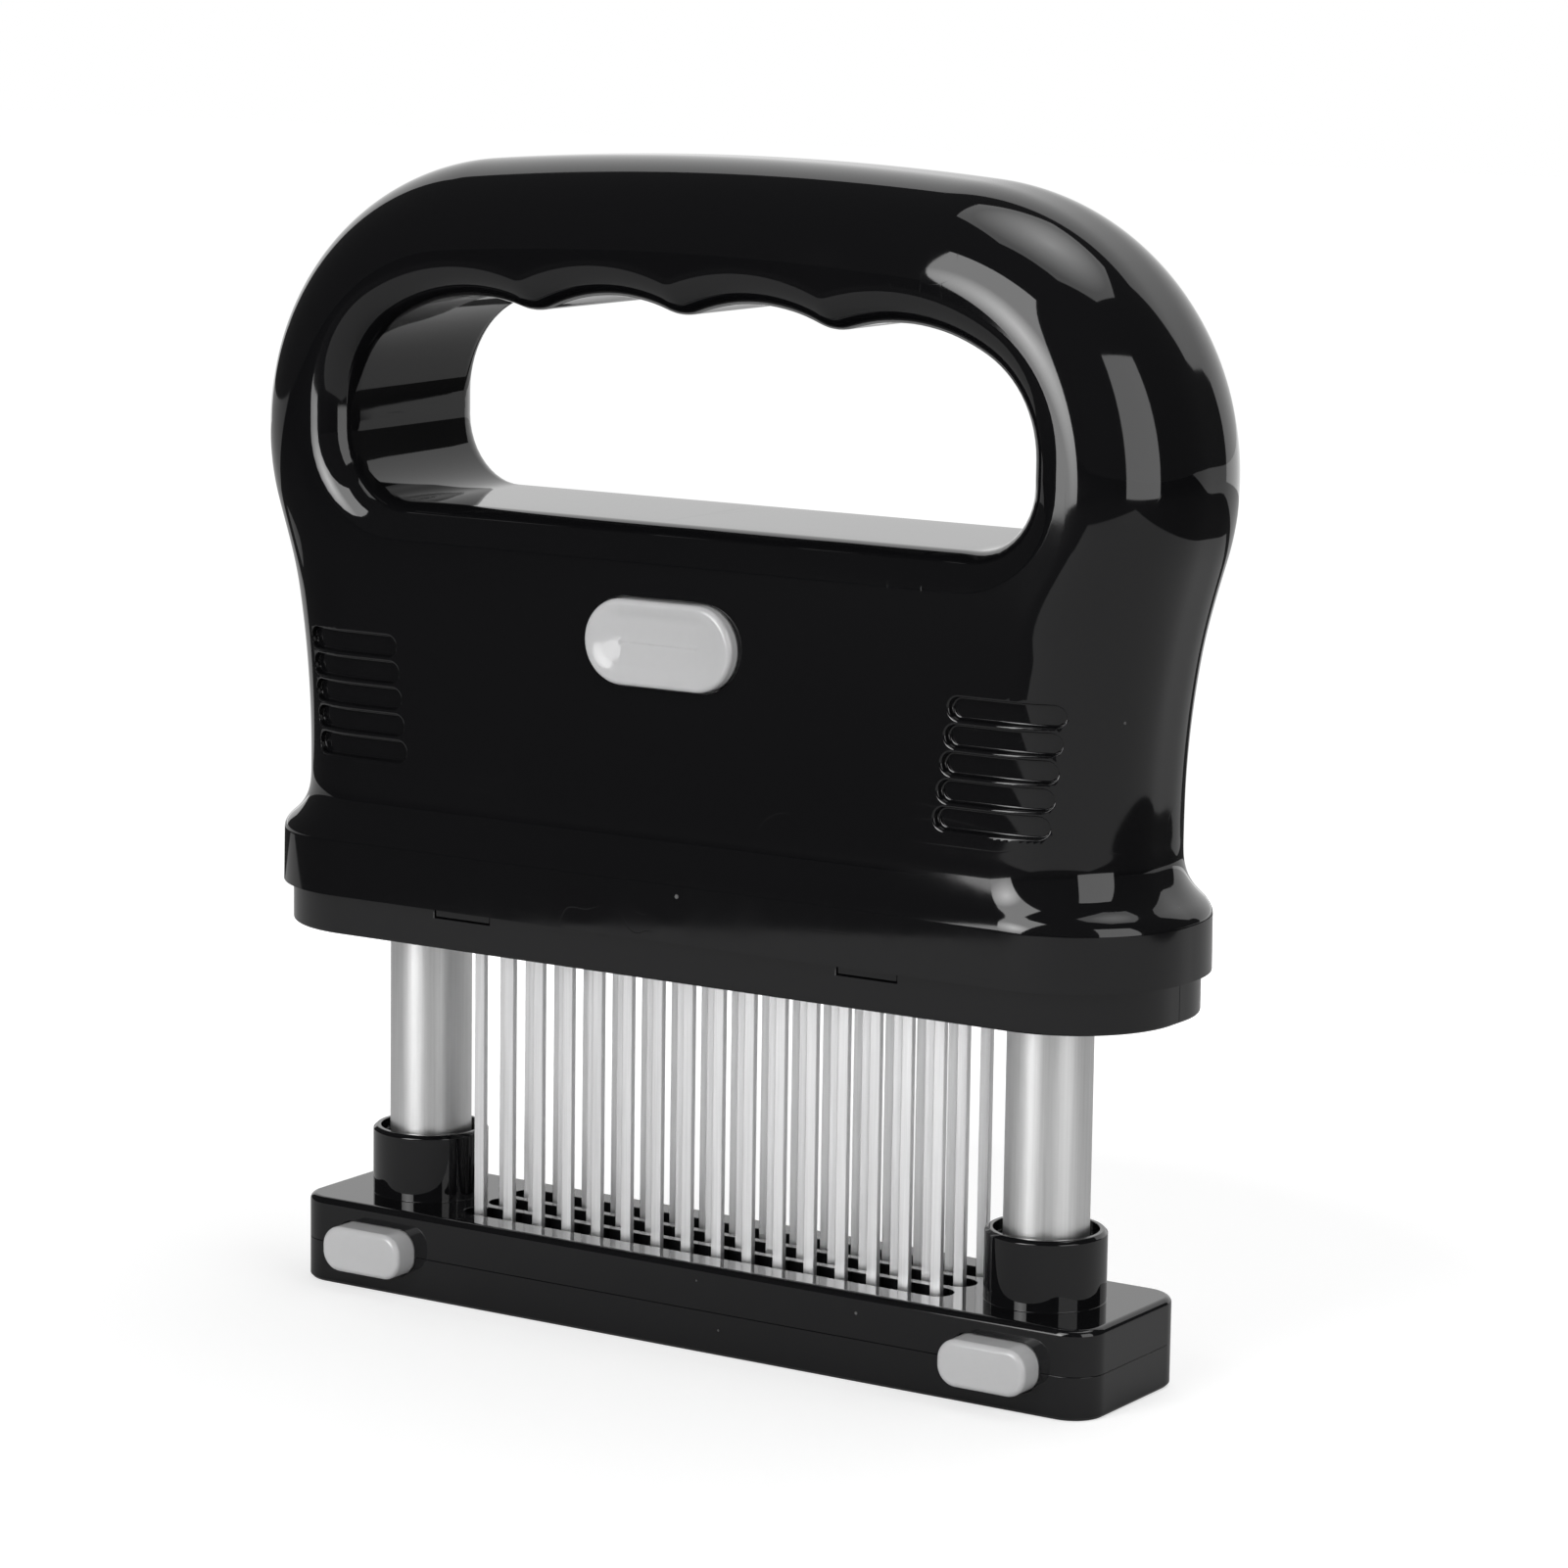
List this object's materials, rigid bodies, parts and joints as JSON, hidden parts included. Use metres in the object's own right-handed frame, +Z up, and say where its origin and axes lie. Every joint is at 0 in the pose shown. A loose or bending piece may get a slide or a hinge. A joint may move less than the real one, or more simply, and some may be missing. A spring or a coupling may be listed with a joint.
{
  "type": "blade meat tenderizer",
  "caption": "Hand-pressed blade meat tenderizer: a D-shaped handle with rows of flat steel blades slides on two sprung posts over a slotted foot.",
  "frame": {"origin": "middle of the foot's underside, on the surface that the tool stands on", "axes": "+Z up along the posts, X along the width of the handle, front with the buttons towards -Y"},
  "size_m": [0.1536, 0.0404, 0.17],
  "materials": {
    "housing_black": "high gloss, moulded",
    "button_grey": "satin gloss",
    "inner_black": "moulded, unpolished",
    "blade_steel": "ground stainless steel",
    "post_steel": "drawn tube, fine lengthways grain",
    "spring_steel": "plain wire",
    "screw_steel": "zinc plated"
  },
  "bodies": {
    "base": {"base_top_cover": "housing_black", "base_bottom_cover": "housing_black", "base_screws": "screw_steel", "post_left": "post_steel", "post_right": "post_steel", "post_foot_left": "post_steel", "post_foot_right": "post_steel", "retaining_rings": "spring_steel", "base_spring_left": "spring_steel", "base_spring_right": "spring_steel", "return_spring_left": "spring_steel", "return_spring_right": "spring_steel"},
    "head": {"front_shell": "housing_black", "rear_shell": "housing_black", "shell_screws": "screw_steel", "skirt_front": "housing_black", "skirt_rear": "housing_black", "blade_carrier": "inner_black", "clamp_plate": "inner_black", "clamp_screws": "screw_steel", "blade_row_front": "blade_steel", "blade_row_middle": "blade_steel", "blade_row_rear": "blade_steel", "guide_bush_left": "inner_black", "guide_bush_right": "inner_black", "spring_rod_left": "inner_black", "spring_rod_right": "inner_black", "release_spring": "spring_steel"},
    "release": {"release_button": "button_grey", "release_latch": "spring_steel"},
    "base_latch_left": {"base_button_left": "button_grey"},
    "base_latch_right": {"base_button_right": "button_grey"}
  },
  "joints": [
    {"name": "press_stroke", "type": "slide", "parent": "base", "child": "head", "axis": [0, 0, 1], "range_m": [-0.0305, 0], "stiffness_N_per_m": 500, "springref_m": 0.012, "deforming": ["return_spring_left", "return_spring_right"]},
    {"name": "release_press", "type": "slide", "parent": "head", "child": "release", "axis": [0, 1, 0], "range_m": [0, 0.0025], "stiffness_N_per_m": 600, "springref_m": -0.002, "deforming": ["release_spring"]},
    {"name": "base_press_left", "type": "slide", "parent": "base", "child": "base_latch_left", "axis": [0, 1, 0], "range_m": [0, 0.0025], "stiffness_N_per_m": 500, "springref_m": -0.002, "deforming": ["base_spring_left"]},
    {"name": "base_press_right", "type": "slide", "parent": "base", "child": "base_latch_right", "axis": [0, 1, 0], "range_m": [0, 0.0025], "stiffness_N_per_m": 500, "springref_m": -0.002, "deforming": ["base_spring_right"]}
  ]
}
